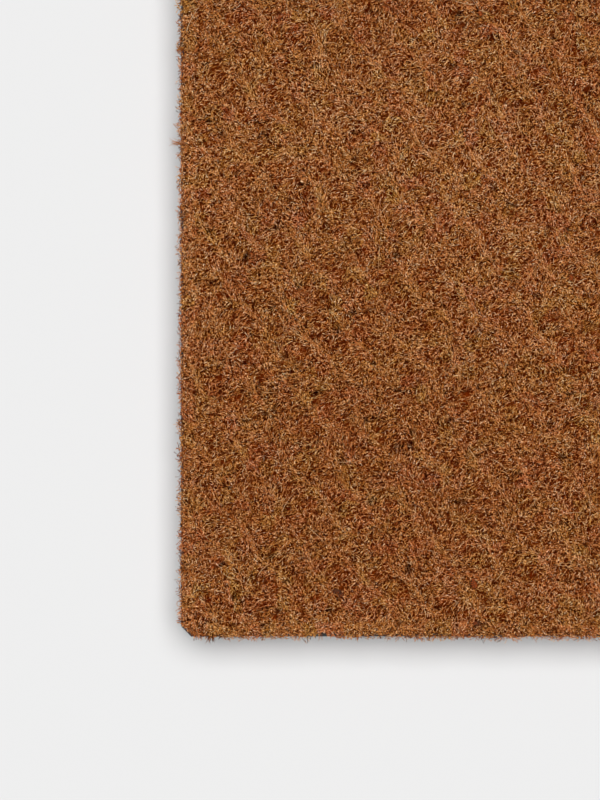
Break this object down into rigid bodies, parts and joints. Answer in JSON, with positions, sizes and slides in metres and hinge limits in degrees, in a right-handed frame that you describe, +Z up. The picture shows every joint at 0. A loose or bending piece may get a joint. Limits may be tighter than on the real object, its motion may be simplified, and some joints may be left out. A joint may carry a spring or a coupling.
{
  "type": "door mat",
  "caption": "Rectangular coir door mat: dense cut natural fibre pile planted in rows in a thin dark vinyl backing sheet, raw cut edges.",
  "frame": {"origin": "centre of the underside of the backing", "axes": "+X along the long side, in line with the tuft rows; +Y across the rows; +Z up, out of the pile"},
  "size_m": [0.6, 0.4, 0.016],
  "materials": {
    "backing_vinyl": "matt, faintly pebbled soft vinyl",
    "coir": "coarse natural coir bristle, cut ends, matt with a faint sheen"
  },
  "bodies": {
    "root": {"backing": "backing_vinyl", "tuft_rows_01": "coir", "tuft_rows_02": "coir", "tuft_rows_03": "coir", "tuft_rows_04": "coir", "tuft_rows_05": "coir", "tuft_rows_06": "coir", "tuft_rows_07": "coir", "tuft_rows_08": "coir", "tuft_rows_09": "coir", "tuft_rows_10": "coir", "tuft_rows_11": "coir", "tuft_rows_12": "coir", "tuft_rows_13": "coir", "tuft_rows_14": "coir", "tuft_rows_15": "coir", "tuft_rows_16": "coir", "tuft_rows_17": "coir", "tuft_rows_18": "coir", "tuft_rows_19": "coir", "tuft_rows_20": "coir", "tuft_rows_21": "coir", "tuft_rows_22": "coir", "tuft_rows_23": "coir", "tuft_rows_24": "coir", "tuft_rows_25": "coir", "tuft_rows_26": "coir", "tuft_rows_27": "coir", "tuft_rows_28": "coir", "tuft_rows_29": "coir", "tuft_rows_30": "coir", "tuft_rows_31": "coir", "tuft_rows_32": "coir", "tuft_rows_33": "coir", "tuft_rows_34": "coir", "tuft_rows_35": "coir", "tuft_rows_36": "coir", "tuft_rows_37": "coir", "tuft_rows_38": "coir", "tuft_rows_39": "coir", "tuft_rows_40": "coir", "tuft_rows_41": "coir", "tuft_rows_42": "coir", "tuft_rows_43": "coir", "tuft_rows_44": "coir"}
  },
  "joints": []
}
